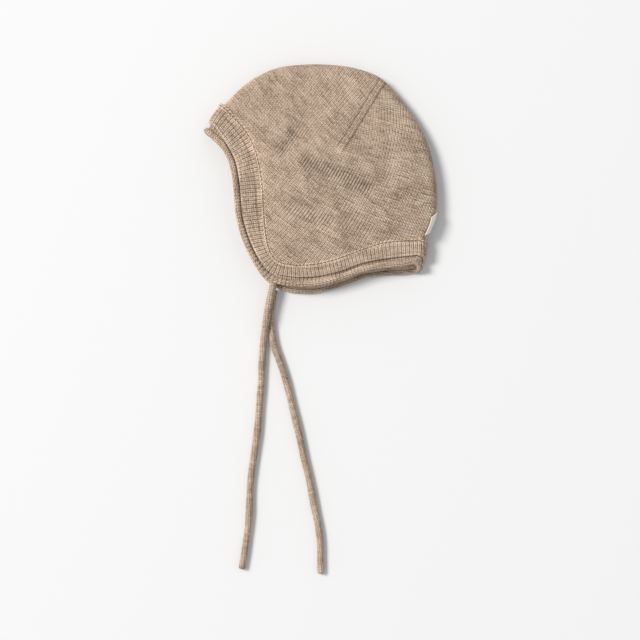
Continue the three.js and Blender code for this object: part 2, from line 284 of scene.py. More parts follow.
lineWay = unit(np.array(knit["lineEnd"]) - lineStart)
lineLength = float(np.linalg.norm(np.array(knit["lineEnd"]) - lineStart))
lineRight = np.array([lineWay[1], -lineWay[0]])


# Column and row numbers, in stitches, for flat places on the crown.
# side is -1 before the fashioned line, 1 behind it and 0 where there is none.
def stitchPlace(flat, side):
    x = flat[..., 0] - knit["middle"][0]
    y = flat[..., 1] - knit["middle"][1]
    s, c, k = math.sin(math.radians(knit["lean"])), math.cos(math.radians(knit["lean"])), knit["turn"]
    wale = s * x - c * y + c * k * x * x / 2 + s * k * x * y
    course = c * x + s * y - s * k * x * x / 2 + c * k * x * y
    if side:
        up = (flat - lineStart) @ lineWay
        across = (flat - lineStart) @ lineRight
        swing = math.sin(math.radians(knit["lineSwing"]))
        reach = knit["lineReach"]
        climb = np.where(up < 15, np.clip(up, 0, None) ** 2 / 30, up - 7.5)
        wale = wale + side * swing * climb * np.exp(-(across / reach) ** 2)
        course = course - side * swing * reach * np.tanh(across / reach) * smooth((up + 45) / 75)
    return np.stack([wale / knit["wale"], course / knit["course"]], -1)


# The lowest that any point may lie over the table, in mm.
tableGap = 0.02


# A mesh in the right place, with its material and UV layers, riding on the one body.
def newPiece(name, points, quads, material, uvs):
    mesh = bpy.data.meshes.new(name)
    count, corners = len(quads), quads.shape[1]
    mesh.vertices.add(len(points))
    points[:, 2] = np.maximum(points[:, 2], tableGap)
    mesh.vertices.foreach_set("co", ((points + centring) * mm).astype(np.float32).ravel())
    mesh.loops.add(count * corners)
    mesh.loops.foreach_set("vertex_index", quads.astype(np.int32).ravel())
    mesh.polygons.add(count)
    mesh.polygons.foreach_set("loop_start", np.arange(0, count * corners, corners, dtype=np.int32))
    mesh.polygons.foreach_set("loop_total", np.full(count, corners, dtype=np.int32))
    mesh.update(calc_edges=True)
    for uvName, values in uvs.items():
        layer = mesh.uv_layers.new(name=uvName)
        if len(values) == len(points):
            values = values[quads.ravel()]
        layer.data.foreach_set("uv", values.astype(np.float32).ravel())
    mesh.polygons.foreach_set("use_smooth", np.ones(count, dtype=bool))
    mesh.validate()
    mesh.materials.append(material)
    piece = bpy.data.objects.new(name, mesh)
    bpy.context.scene.collection.objects.link(piece)
    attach(piece, "root")
    return piece


# The stitch's relief: where its columns and rows of points lie and how high they stand.
fineStitch = {
    "columns": [-0.5, -0.37, -0.2, 0.0, 0.2, 0.37],
    "columnHeights": [0.0, 0.7, 1.0, 0.25, 1.0, 0.7],
    "rows": [0.0, 0.25, 0.5, 0.75],
    "rowHeights": [0.12, 0.85, 1.0, 0.78],
    "slant": 0.62,            # rows that a leg climbs from the middle to the side
    "depth": 0.6,             # mm
}
plainStitch = {
    "columns": [-0.5, -0.25, 0.0, 0.25],
    "columnHeights": [0.0, 1.0, 0.35, 1.0],
    "rows": [0.0, 0.5],
    "rowHeights": [0.2, 1.0],
    "slant": 0.62,
    "depth": 0.5,
}


def flatCross(a, b):
    return a[..., 0] * b[..., 1] - a[..., 1] * b[..., 0]


# A lattice that follows the stitches, laid on a sheet through its stitch numbers.
# up is 1 on the upper half and -1 on the half underneath.
def knitPanel(name, sheet, flats, side, up, stitch, material, keep):
    rowCount, columnCount = sheet.shape[:2]
    points = sheet.reshape(-1, 3)
    flat = flats.reshape(-1, 2)
    triangles = gridTriangles(rowCount, columnCount)
    normals = pointNormals(points, triangles)
    if normals[:, 2].sum() * up < 0:
        normals = -normals
        triangles = triangles[:, ::-1]
    place = stitchPlace(flat, side)
    tree = BVHTree.FromPolygons([(u, v, 0.0) for u, v in place.tolist()], triangles.tolist())

    columns = np.array(stitch["columns"])
    rows = np.array(stitch["rows"])
    low = np.floor(place.min(0)) - 1
    high = np.ceil(place.max(0)) + 1
    wales = np.arange(low[0], high[0])
    courses = np.arange(low[1], high[1])
    u = (wales[:, None] + 0.5 + columns[None, :]).ravel()
    columnHeight = np.tile(stitch["columnHeights"], len(wales))
    lift = np.tile(np.abs(columns) * 2 * stitch["slant"], len(wales))
    v = (courses[:, None] + rows[None, :]).ravel()
    rowHeight = np.tile(stitch["rowHeights"], len(courses))
    uGrid = np.repeat(u[:, None], len(v), 1)
    vGrid = v[None, :] + lift[:, None]
    relief = columnHeight[:, None] * (0.3 + 0.7 * rowHeight[None, :])
    rib = np.repeat(np.cos(math.pi * np.tile(columns, len(wales)))[:, None], len(v), 1)

    # Whole stitches that lie off the sheet are passed over.
    near = np.zeros((len(wales), len(courses)), bool)
    for i, w in enumerate(wales):
        for j, c in enumerate(courses):
            near[i, j] = tree.find_nearest((w + 0.5, c + 0.5, 0.0), 1.3)[0] is not None
    nearGrid = np.repeat(np.repeat(near, len(columns), 0), len(rows), 1)

    hit = np.full(uGrid.shape, -1, int)
    gap = np.full(uGrid.shape, 9.0)
    spot = np.zeros(uGrid.shape + (2,))
    for i, j in zip(*np.nonzero(nearGrid)):
        location, _, index, distance = tree.find_nearest((uGrid[i, j], vGrid[i, j], 0.0), 1.0)
        if location is not None:
            hit[i, j] = index
            gap[i, j] = distance
            spot[i, j] = location[0], location[1]

    found = hit >= 0
    corner = triangles[hit[found]]
    a, b, c = (place[corner[:, k]] for k in range(3))
    p = spot[found]
    area = flatCross(b - a, c - a)
    area = np.where(np.abs(area) < 1e-12, 1e-12, area)
    wb = np.clip(flatCross(p - a, c - a) / area, 0, 1)[:, None]
    wc = np.clip(flatCross(b - a, p - a) / area, 0, 1)[:, None]
    wa = 1 - wb - wc

    def mixed(values):
        return wa * values[corner[:, 0]] + wb * values[corner[:, 1]] + wc * values[corner[:, 2]]

    surface = mixed(points)
    gathered = np.clip(dentAt(surface[:, 0], surface[:, 1]) / knit["fullGather"], 0, 1) * (up > 0)
    height = relief[found] * (1 - gathered) + rib[found] * gathered
    rise = (height - knit["level"]) * stitch["depth"] * (1 + knit["gather"] * gathered)
    if side:
        flatSpot = mixed(flat) - lineStart
        fromFurrow = (np.abs(flatSpot @ lineRight) - knit["furrowFrom"]) / knit["furrowWidth"]
        furrow = np.exp(-fromFurrow ** 2) * smooth(flatSpot @ lineWay / 6)
        rise = rise - furrow * knit["lineGroove"]
        # Painted shade: the colour is darkened in the furrows beside the fashioned line.
        height = height * (1 - 0.35 * furrow)
    surface = surface + unit(mixed(normals)) * rise[:, None]
    # Painted shade: the colour is darkened in the troughs as well.
    height = height * (1 - 0.5 * gathered)
    flatPlace = np.zeros(uGrid.shape + (2,))
    flatPlace[found] = mixed(flat)

    number = np.full(uGrid.shape, -1, int)
    number[found] = np.arange(found.sum())
    q = np.stack([number[:-1, :-1], number[1:, :-1], number[1:, 1:], number[:-1, 1:]], -1)
    inside = np.stack([gap[:-1, :-1], gap[1:, :-1], gap[1:, 1:], gap[:-1, 1:]], -1) < 1e-4
    centre = (flatPlace[:-1, :-1] + flatPlace[1:, :-1] + flatPlace[1:, 1:] + flatPlace[:-1, 1:]) / 4
    kept = (q >= 0).all(-1) & inside.any(-1) & keep(centre)
    quads = q[kept]
    used, quads = np.unique(quads, return_inverse=True)
    quads = quads.reshape(-1, 4)
    surface = surface[used]
    stitchUv = np.stack([uGrid[found], vGrid[found]], -1)[used]
    flatUv = flatPlace[found][used]
    corners = surface[quads]
    facing = np.cross(corners[:, 1] - corners[:, 0], corners[:, 3] - corners[:, 0])
    if (facing * unit(mixed(normals))[used][quads[:, 0]]).sum() < 0:
        quads = quads[:, ::-1]
    bake = (flatUv - flatUv.min(0)) / (flatUv.max(0) - flatUv.min(0)).max() * 0.98 + 0.01
    # The relief layer carries the colour's painted shade: low in the gaps between stitches, in the troughs
    # and in the furrows.
    reliefUv = np.column_stack([height[used], np.zeros(len(used))])
    uvs = {"stitch": stitchUv, "relief": reliefUv, "OFBake": bake}
    piece = newPiece(name, surface, quads, material, uvs)
    print(name, len(quads) * 2, "triangles")
    return piece


wool = {
    "light": (0.960, 0.765, 0.602, 1),
    "middle": (0.712, 0.530, 0.394, 1),
    "dark": (0.335, 0.231, 0.163, 1),
    "streak": 0.16,           # colour changes a stitch along the yarn
    # Painted shade: the colour in the gaps between stitches is darkened to this share.
    "paintedGrooveShade": 0.17,      # how dark the gaps between stitches are
    "streakShare": 0.29,      # how much each kind of mottling shows
    "cloudShare": 0.15,
    "speckShare": 0.38,
    "fibreShare": 0.16,
    "cloud": 62.0,            # sizes of the mottling, per metre
    "speck": 900.0,
    "fibre": 2600.0,
}


def link(tree, fromNode, fromName, toNode, toName):
    tree.links.new(fromNode.outputs[fromName], toNode.inputs[toName])


def addNode(tree, kind, **inputs):
    node = tree.nodes.new(kind)
    for name, value in inputs.items():
        if name in node.inputs:
            node.inputs[name].default_value = value
        else:
            setattr(node, name, value)
    return node


def mathNode(tree, operation, a, b):
    node = addNode(tree, "ShaderNodeMath", operation=operation)
    for k, value in enumerate((a, b)):
        if isinstance(value, (int, float)):
            node.inputs[k].default_value = value
        else:
            tree.links.new(value, node.inputs[k])
    return node.outputs[0]


# Yarn colour that drifts along each row of stitches, with fibres and painted shade in the gaps between
# stitches.
def buildYarnGroup():
    group = bpy.data.node_groups.new("melangeYarn", "ShaderNodeTree")
    face = group.interface
    for name in ("Light", "Middle", "Dark"):
        face.new_socket(name, in_out="INPUT", socket_type="NodeSocketColor")
    for name in ("Streak", "PaintedGapShade", "Fibre", "Purl"):
        face.new_socket(name, in_out="INPUT", socket_type="NodeSocketFloat")
    face.new_socket("Color", in_out="OUTPUT", socket_type="NodeSocketColor")
    face.new_socket("Height", in_out="OUTPUT", socket_type="NodeSocketFloat")
    given = addNode(group, "NodeGroupInput")
    result = addNode(group, "NodeGroupOutput")

    stitches = addNode(group, "ShaderNodeUVMap", uv_map="stitch")
    apart = addNode(group, "ShaderNodeSeparateXYZ")
    link(group, stitches, "UV", apart, "Vector")
    along = mathNode(group, "MULTIPLY", apart.outputs["X"], given.outputs["Streak"])
    row = mathNode(group, "FLOOR", apart.outputs["Y"], 0)
    shift = addNode(group, "ShaderNodeTexWhiteNoise", noise_dimensions="1D")
    group.links.new(row, shift.inputs["W"])
    drift = mathNode(group, "MULTIPLY", shift.outputs["Value"], 40.0)
    along = mathNode(group, "ADD", along, drift)
    across = mathNode(group, "MULTIPLY", apart.outputs["Y"], 0.35)
    place = addNode(group, "ShaderNodeCombineXYZ")
    group.links.new(along, place.inputs["X"])
    group.links.new(across, place.inputs["Y"])
    streaks = addNode(group, "ShaderNodeTexNoise", Scale=1.0, Detail=3.0, Roughness=0.65)
    link(group, place, "Vector", streaks, "Vector")

    where = addNode(group, "ShaderNodeTexCoord")
    cloud = addNode(group, "ShaderNodeTexNoise", Scale=wool["cloud"], Detail=2.0, Roughness=0.5)
    link(group, where, "Object", cloud, "Vector")
    speck = addNode(group, "ShaderNodeTexNoise", Scale=wool["speck"], Detail=2.0, Roughness=0.7)
    link(group, where, "Object", speck, "Vector")
    fibre = addNode(group, "ShaderNodeTexNoise", Detail=3.0, Roughness=0.75)
    link(group, where, "Object", fibre, "Vector")
    link(group, given, "Fibre", fibre, "Scale")

    tone = mathNode(group, "MULTIPLY", streaks.outputs["Fac"], wool["streakShare"])
    for noise, share in ((cloud, "cloudShare"), (speck, "speckShare"), (fibre, "fibreShare")):
        part = mathNode(group, "MULTIPLY", noise.outputs["Fac"], wool[share])
        tone = mathNode(group, "ADD", tone, part)
    ramp = addNode(group, "ShaderNodeMapRange")
    ramp.inputs["From Min"].default_value = 0.40
    ramp.inputs["From Max"].default_value = 0.60
    group.links.new(tone, ramp.inputs["Value"])
    lower = addNode(group, "ShaderNodeMapRange")
    lower.inputs["From Max"].default_value = 0.5
    link(group, ramp, "Result", lower, "Value")
    upper = addNode(group, "ShaderNodeMapRange")
    upper.inputs["From Min"].default_value = 0.5
    link(group, ramp, "Result", upper, "Value")
    first = addNode(group, "ShaderNodeMix", data_type="RGBA")
    link(group, lower, "Result", first, "Factor")
    group.links.new(given.outputs["Dark"], first.inputs[6])
    group.links.new(given.outputs["Middle"], first.inputs[7])
    second = addNode(group, "ShaderNodeMix", data_type="RGBA")
    link(group, upper, "Result", second, "Factor")
    group.links.new(first.outputs[2], second.inputs[6])
    group.links.new(given.outputs["Light"], second.inputs[7])

    # Painted shade: the colour is multiplied darker where the stitch relief is low, down to the gap shade
    # in the gaps between stitches.
    relief = addNode(group, "ShaderNodeUVMap", uv_map="relief")
    high = addNode(group, "ShaderNodeSeparateXYZ")
    link(group, relief, "UV", high, "Vector")
    shade = addNode(group, "ShaderNodeMapRange")
    link(group, high, "X", shade, "Value")
    link(group, given, "PaintedGapShade", shade, "To Min")
    shaded = addNode(group, "ShaderNodeMix", data_type="RGBA", blend_type="MULTIPLY")
    shaded.inputs["Factor"].default_value = 1.0
    group.links.new(second.outputs[2], shaded.inputs[6])
    group.links.new(shade.outputs["Result"], shaded.inputs[7])
    group.links.new(shaded.outputs[2], result.inputs["Color"])
    bump = mathNode(group, "MULTIPLY", fibre.outputs["Fac"], 0.7)
    bump = mathNode(group, "ADD", bump, speck.outputs["Fac"])
    turns = mathNode(group, "MULTIPLY", apart.outputs["Y"], 2 * math.pi)
    loops = mathNode(group, "MULTIPLY", mathNode(group, "SINE", turns, 0), given.outputs["Purl"])
    bump = mathNode(group, "ADD", bump, loops)
    group.links.new(bump, result.inputs["Height"])
    return group


yarnGroup = buildYarnGroup()


def woolMaterial(name, paintedBrightness=1.0, paintedGapShade=wool["paintedGrooveShade"], purl=0.0):
    material = bpy.data.materials.new(name)
    material.use_nodes = True
    tree = material.node_tree
    shader = tree.nodes["Principled BSDF"]
    yarn = addNode(tree, "ShaderNodeGroup", node_tree=yarnGroup)
    for tone in ("light", "middle", "dark"):
        colour = wool[tone]
        # Painted light and shade: the yarn's colours are scaled, brighter above 1 and darker below 1.
        yarn.inputs[tone.capitalize()].default_value = tuple(x * paintedBrightness for x in colour[:3]) + (1,)
    yarn.inputs["Streak"].default_value = wool["streak"]
    yarn.inputs["PaintedGapShade"].default_value = paintedGapShade
    yarn.inputs["Purl"].default_value = purl
    yarn.inputs["Fibre"].default_value = wool["fibre"]
    link(tree, yarn, "Color", shader, "Base Color")
    bump = addNode(tree, "ShaderNodeBump", Strength=0.55, Distance=0.00022)
    link(tree, yarn, "Height", bump, "Height")
    link(tree, bump, "Normal", shader, "Normal")
    shader.inputs["Roughness"].default_value = 0.92
    shader.inputs["Specular IOR Level"].default_value = 0.18
    shader.inputs["Sheen Weight"].default_value = 0.22
    shader.inputs["Sheen Roughness"].default_value = 0.45
    shader.inputs["Sheen Tint"].default_value = (0.95, 0.86, 0.76, 1)
    return material


# Painted light and shade on one yarn: the roll, chain and ties are made brighter and the inside darker than
# the crown, and the roll, chain and fashioned line get lighter painted gap shade.
crownWool = woolMaterial("crownWool")
bandWool = woolMaterial("bandWool")
rollWool = woolMaterial("rollWool", paintedBrightness=1.12, paintedGapShade=0.14)
chainWool = woolMaterial("chainWool", paintedBrightness=1.12, paintedGapShade=0.1)
tieWool = woolMaterial("tieWool", paintedBrightness=1.16)
liningWool = woolMaterial("liningWool", paintedBrightness=0.8, purl=2.5)
lineWool = woolMaterial("lineWool", paintedGapShade=0.1)
print("wool materials ready")


upperRows, upperFlats = halfSheet(1)
lowerRows, lowerFlats = halfSheet(-1)


# The two panels overlap a little under the fashioned line's stitches.
def lineOverlap(centre):
    return np.where((centre - lineStart) @ lineWay > knit["overlapFrom"], knit["lineOverlap"], 0.0)


def beforeLine(centre):
    return (centre - lineStart) @ lineRight < lineOverlap(centre)


def behindLine(centre):
    return (centre - lineStart) @ lineRight >= -lineOverlap(centre)


def everywhere(centre):
    return np.ones(centre.shape[:-1], bool)


crownFront = knitPanel("crown_front", upperRows, upperFlats, -1, 1, fineStitch, crownWool, beforeLine)
knitPanel("crown_back", upperRows, upperFlats, 1, 1, fineStitch, crownWool, behindLine)
knitPanel("crown_under", lowerRows, lowerFlats, 0, -1, plainStitch, crownWool, everywhere)
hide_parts("body")


# The inside of the knit, seen through the face and neck openings.
lining = {
    "rowStep": 3,             # it takes every third row of the shell
    "pointStep": 2,           # and every second point of a row
    "apart": 180.0,           # mm between its two halves where they are laid out flat
    "relief": 0.7,
}


def buildLining():
    parts, faces, flats, offset = [], [], [], 0
    for side, rows, flat in ((1, upperRows, upperFlats), (-1, lowerRows, lowerFlats)):
        rows = rows[::lining["rowStep"], ::lining["pointStep"]]
        flat = flat[::lining["rowStep"], ::lining["pointStep"]]
        triangles = gridTriangles(*rows.shape[:2])
        points = rows.reshape(-1, 3)
        normals = pointNormals(points, triangles)
        if (normals[:, 2].mean() > 0) != (side > 0):
            normals = -normals
        parts.append(points - normals * crown["wall"])
        index = np.arange(len(points)).reshape(rows.shape[:2]) + offset
        quads = np.stack([index[:-1, :-1], index[1:, :-1], index[1:, 1:], index[:-1, 1:]], -1)
        quads = quads.reshape(-1, 4)
        faces.append(quads if side > 0 else quads[:, ::-1])
        flats.append(flat.reshape(-1, 2) + np.array([0 if side > 0 else lining["apart"], 0]))
        offset += len(points)
    points, quads, flat = np.vstack(parts), np.vstack(faces), np.vstack(flats)
    bake = (flat - flat.min(0)) / (flat.max(0) - flat.min(0)).max() * 0.98 + 0.01
    relief = np.full(len(flat), lining["relief"])
    uvs = {"stitch": flat / knit["wale"], "relief": np.column_stack([relief, 0 * relief]), "OFBake": bake}
    return newPiece("crown_inside", points, quads, liningWool, uvs)


buildLining()
print("crown ready")


# The doubled band round the opening, ribbed at the seam and plain knit to its edge.
band = {
    "wall": 2.4,
    "wale": 2.9,              # mm between ribs along the edge
    "courses": 6,
    "ribShare": 0.34,         # of the width, where the ribs run plain
    "depth": 0.75,
    "crowned": 0.5,
    "start": -0.5,            # mm past the seam, under the chain
    "rollClear": 2.8,         # mm at least from the edge to the roll's middle
}


# One closed loop round the opening: upper half, nape fold, lower half, forehead fold.
def openingLoop(points, count=700, turnCount=40):
    half = band["wall"] / 2
    t = np.linspace(0, 1, count)
    curve = splineAt(points, t)
    drop = splineAt(shapePoints, t)[:, 1]
    upper = curve - [0, 0, half]
    lower = np.column_stack([curve[:, 0], curve[:, 1] - drop, np.full(count, half)])

    def turned(start, end, way):
        angle = (math.pi * np.arange(1, turnCount) / turnCount)[:, None]
        radius = abs(start[2] - end[2]) / 2
        return start + (end - start) * (1 - np.cos(angle)) / 2 + unit(way) * radius * np.sin(angle)

    nape = turned(upper[-1], lower[-1], napeTurn)
    forehead = turned(lower[0], upper[0], foreheadTurn)
    return np.vstack([upper, nape, lower[::-1], forehead])


# Points on each loop abreast of even steps along the guide, and the guide's length.
def evenLoops(loops, guide, count):
    closed = np.vstack([guide, guide[:1]])
    run = np.concatenate([[0], np.cumsum(np.linalg.norm(np.diff(closed, axis=0), axis=1))])
    at = np.arange(count) * run[-1] / count
    evened = []
    for loop in loops:
        ring = np.vstack([loop, loop[:1]])
        evened.append(np.column_stack([np.interp(at, run, ring[:, k]) for k in range(3)]))
    return evened, run[-1]


def softened(values, width):
    total = np.zeros_like(values)
    for k in range(-width, width + 1):
        total += np.roll(values, k, axis=0)
    return unit(total)


seamLoop, edgeLoop, rollLoop = (openingLoop(points) for points in (seamPoints, edgePoints, rollPoints))


# Where the seam, edge and roll lie at each station, and the ways that the band and roll run there.
def loopFrames(stations):
    guide = (seamLoop + edgeLoop) / 2
    (seam, edge, rolled), length = evenLoops((seamLoop, edgeLoop, rollLoop), guide, stations)
    away = edge - seam
    reach = np.linalg.norm(away, axis=1)
    width = max(2, stations // 160)
    away = softened(unit(away), width)
    along = unit(np.roll(edge, -1, 0) - np.roll(edge, 1, 0))
    facing = softened(unit(np.cross(away, along)), width)
    beyond = softened(unit(rolled - edge), width)
    toRoll = np.maximum(np.linalg.norm(rolled - edge, axis=1), band["rollClear"])
    return {"seam": seam, "away": away, "face": facing, "beyond": beyond,
            "reach": reach, "toRoll": toRoll, "length": length}


def ringQuads(count, across, closedAcross):
    i = np.arange(count)[:, None]
    j = np.arange(across if closedAcross else across - 1)[None, :]
    nextI, nextJ = (i + 1) % count, (j + 1) % across
    corners = [i * across + j, i * across + nextJ, nextI * across + nextJ, nextI * across + j]
    return np.stack(corners, -1).reshape(-1, 4)


# Lays a long closed strip out in a few rows that fill the square.
def stripUv(quads, count, across, stitch):
    stripRows = max(1, int(round(math.sqrt(count * stitch[0] / (across * stitch[1])))))
    perRow = -(-count // stripRows)
    i = quads // across
    j = quads % across
    first = i[:, :1]
    i = np.where(np.abs(i - first) > count / 2, i + np.sign(first - i) * count, i)
    j = np.where(np.abs(j - j[:, :1]) > across / 2, j + np.sign(j[:, :1] - j) * across, j)
    low = i.min(1)
    row = np.clip(low // perRow, 0, stripRows - 1)[:, None]
    u = (i - row * perRow) / (perRow + 1) * 0.98 + 0.01
    v = (row + 0.04 + 0.92 * (j - j.min()) / (across + 1)) / stripRows
    return np.stack([u, v], -1).reshape(-1, 2)


# The UV layers of a knitted strip: stitch numbers, relief and a layout for baking.
def stripLayers(u, v, relief, quads, stitch):
    count, across = relief.shape
    return {
        "stitch": np.column_stack([u.ravel(), v.ravel()]),
        "relief": np.column_stack([relief.ravel(), 0 * relief.ravel()]),
        "OFBake": stripUv(quads, count, across, stitch),
    }


def buildBand():
    columns = fineStitch["columns"]
    wales = int(round(loopFrames(600)["length"] / band["wale"]))
    count = wales * len(columns)
    f = loopFrames(count)
    a = np.tile(columns, wales)
    ribHeight = np.tile(fineStitch["columnHeights"], wales)
    half = band["wall"] / 2
    # share of the width, height of the relief, how far the stitches slant
    profile = [(0.0, 0.2, 0.0), (0.05, 0.75, 0.0), (0.1, 1.0, 0.0), (0.18, 1.0, 0.0), (0.26, 0.95, 0.3)]
    for course in range(band["courses"]):
        for row, height in zip(fineStitch["rows"], fineStitch["rowHeights"]):
            share = band["ribShare"] + (1 - band["ribShare"]) * (course + row) / band["courses"]
            profile.append((share, height, 1.0))
    outer, ups, relief = [], [], []
    flatReach = f["reach"] - half
    pitch = (flatReach - band["start"]) * (1 - band["ribShare"]) / band["courses"]
    for share, height, zone in profile:
        fade = smooth((1.02 - share) / 0.12)
        out = band["start"] + (flatReach - band["start"]) * share
        out = out + np.abs(a) * 2 * fineStitch["slant"] * pitch * zone * fade * 0.9
        rise = ribHeight * (0.25 + 0.75 * height) if zone == 1.0 else ribHeight * (0.15 + 0.85 * height)
        deep = band["depth"] * (1.3 if zone < 1.0 else 0.8)
        up = half + band["crowned"] * math.sin(math.pi * share) ** 0.8
        up = up + (rise - knit["level"]) * deep * (0.35 + 0.65 * fade)
        outer.append(out)
        ups.append(up)
        relief.append(rise)
    for angle in np.radians([60, 30, 0, -30, -60, -90]):
        outer.append(flatReach + half * math.cos(angle) + (ribHeight - 0.8) * 0.2 * math.cos(angle))
        ups.append(0 * a + half * math.sin(angle))
        relief.append(0.45 + 0.4 * ribHeight)
    for share in (0.75, 0.5, 0.25, 0.0):
        outer.append(band["start"] + (flatReach - band["start"]) * share)
        ups.append(0 * a - half + ribHeight * 0.1)
        relief.append(0.6 + 0 * a)
    out, up, relief = np.stack(outer, 1), np.stack(ups, 1), np.stack(relief, 1)
    points = f["seam"][:, None] + f["away"][:, None] * out[..., None] + f["face"][:, None] * up[..., None]
    across = out.shape[1]
    quads = ringQuads(count, across, True)
    u = np.repeat((np.arange(count) / len(columns))[:, None], across, 1)
    v = np.repeat((np.arange(across) / 4.0)[None, :], count, 0)
    uvs = stripLayers(u, v, relief, quads, (0.48, 0.45))
    piece = newPiece("edge_band_knit", points.reshape(-1, 3), quads, bandWool, uvs)
    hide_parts("edge_band")
    print("edge band", len(quads) * 2, "triangles")


buildBand()


# The chain of linking stitches that joins the band to the crown.
chain = {
    "stitch": 2.75,           # mm along the seam
    "width": 3.7,
    "height": 0.8,            # mm that its middle stands over its sides
    "lift": 0.4,
    "centre": -0.3,           # mm from the seam, towards the crown
    "depth": 1.1,
}


def buildChain():
    rows = [0.0, 0.2, 0.4, 0.6, 0.8]
    rowHeights = [0.0, 0.7, 1.0, 0.95, 0.6]
    links = int(round(loopFrames(600)["length"] / chain["stitch"]))
    count = links * len(rows)
    f = loopFrames(count)
    a = np.array([-0.5, -0.4, -0.27, -0.12, 0.0, 0.12, 0.27, 0.4, 0.5])
    legs = np.array([0.0, 0.7, 1.0, 0.7, 0.1, 0.7, 1.0, 0.7, 0.0])
    shift = np.abs(a) * 2 * 0.9 * chain["stitch"]
    along = unit(np.roll(f["seam"], -1, 0) - np.roll(f["seam"], 1, 0))
    height = np.tile(rowHeights, links)
    swell = legs[None, :] * (0.25 + 0.75 * height[:, None])
    out = chain["centre"] + a * chain["width"]
    up = band["wall"] / 2 + chain["lift"] + chain["height"] * (np.cos(math.pi * a * 0.9) - 0.6)[None, :]
    up = up + (swell - 0.6) * chain["depth"]
    points = (f["seam"][:, None] + f["away"][:, None] * out[None, :, None]
              + f["face"][:, None] * up[..., None] + along[:, None] * shift[None, :, None])
    across = len(a)
    quads = ringQuads(count, across, False)
    u = np.repeat(a[None, :] * 1.0, count, 0)
    v = np.repeat((np.arange(count) / len(rows))[:, None], across, 1)
    uvs = stripLayers(v, u, swell, quads, (0.58, 0.35))
    newPiece("chain_seam", points.reshape(-1, 3), quads, chainWool, uvs)


buildChain()
print("band and chain seam ready")


# The curled free edge, one tube all round the opening.
roll = {
    "diameter": 4.7,
    "wales": 5,               # columns of stitches round it
    "course": 2.5,
    "depth": 0.85,
    "unevenness": 0.05,
}


def buildRoll():
    columns, rows = fineStitch["columns"], fineStitch["rows"]
    courses = int(round(loopFrames(600)["length"] * 1.06 / roll["course"]))
    count = courses * len(rows)
    f = loopFrames(count)
    half = band["wall"] / 2
    radius = roll["diameter"] / 2
    centre = (f["seam"] + f["away"] * f["reach"][:, None] + f["beyond"] * f["toRoll"][:, None]
              + f["face"] * (half - radius))
    along = unit(np.roll(centre, -1, 0) - np.roll(centre, 1, 0))
    outward = unit(np.cross(along, f["face"]))
    outward = outward * np.sign((outward * f["beyond"]).sum(1))[:, None]
    position = np.arange(count) / count * 2 * math.pi
    uneven = 1 + roll["unevenness"] * (np.sin(position * 17) + np.sin(position * 29 + 1)) / 2
    a = np.tile(columns, roll["wales"])
    around = (np.arange(roll["wales"])[:, None] + 0.5 + np.array(columns)[None, :]).ravel()
    angle = around / roll["wales"] * 2 * math.pi
    legs = np.tile(fineStitch["columnHeights"], roll["wales"])
    height = np.tile(fineStitch["rowHeights"], courses)
    swell = legs[None, :] * (0.2 + 0.8 * height[:, None])
    shift = np.abs(a) * 2 * fineStitch["slant"] * roll["course"] * 1.2
    r = radius * uneven[:, None] + (swell - 0.9) * roll["depth"]
    points = (centre[:, None] + outward[:, None] * (r * np.cos(angle)[None, :])[..., None]
              + f["face"][:, None] * (r * np.sin(angle)[None, :])[..., None]
              + along[:, None] * shift[None, :, None])
    points[..., 2] = np.maximum(points[..., 2], 0.03)
    across = len(a)
    quads = ringQuads(count, across, True)
    u = np.repeat((np.arange(count) / len(rows))[:, None], across, 1)
    v = np.repeat(around[None, :], count, 0)
    uvs = stripLayers(u, v, swell, quads, (0.56, 0.4))
    piece = newPiece("rolled_edge_knit", points.reshape(-1, 3), quads, rollWool, uvs)
    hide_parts("rolled_edge")
    print("rolled edge", len(quads) * 2, "triangles")


# The knit that the roll grows from: it runs back under the band.
strip = {
    "under": 8.0,             # mm that it runs back from the band's edge
    "wall": 1.6,
    "courses": 5,
    "depth": 0.55,
}


def buildStrip():
    columns = fineStitch["columns"]
    wales = int(round(loopFrames(600)["length"] / band["wale"]))
    count = wales * len(columns)
    f = loopFrames(count)
    a = np.tile(columns, wales)
    ribHeight = np.tile(fineStitch["columnHeights"], wales)
    top = -band["wall"] / 2 - 0.3
    inner = np.maximum(0.5, f["reach"] - strip["under"])
    outer = f["reach"] + f["toRoll"] - 1.2
    pitch = (outer - inner) / strip["courses"]
    outs, ups, relief = [], [], []
    for course in range(strip["courses"]):
        for row, height in zip(fineStitch["rows"], fineStitch["rowHeights"]):
            rise = ribHeight * (0.25 + 0.75 * height)
            lean = np.abs(a) * 2 * fineStitch["slant"] * (course > 0)
            outs.append(inner + pitch * (course + row + lean))
            ups.append(top + (rise - 1) * strip["depth"])
            relief.append(rise)
    for share in (1.0, 0.5, 0.0):
        outs.append(inner + (outer - inner) * share)
        ups.append(top - strip["wall"] + 0 * a)
        relief.append(0.7 + 0 * a)
    out, up, relief = np.stack(outs, 1), np.stack(ups, 1), np.stack(relief, 1)
    reach = f["reach"][:, None]
    points = (f["seam"][:, None] + f["away"][:, None] * np.minimum(out, reach)[..., None]
              + f["beyond"][:, None] * np.maximum(out - reach, 0)[..., None]
              + f["face"][:, None] * up[..., None])
    across = out.shape[1]
    quads = ringQuads(count, across, True)
    u = np.repeat((np.arange(count) / len(columns))[:, None], across, 1)
    v = np.repeat((np.arange(across) / 4.0)[None, :], count, 0)
    uvs = stripLayers(u, v, relief, quads, (0.48, 0.45))
    newPiece("rolled_edge_strip", points.reshape(-1, 3), quads, rollWool, uvs)


buildRoll()
buildStrip()


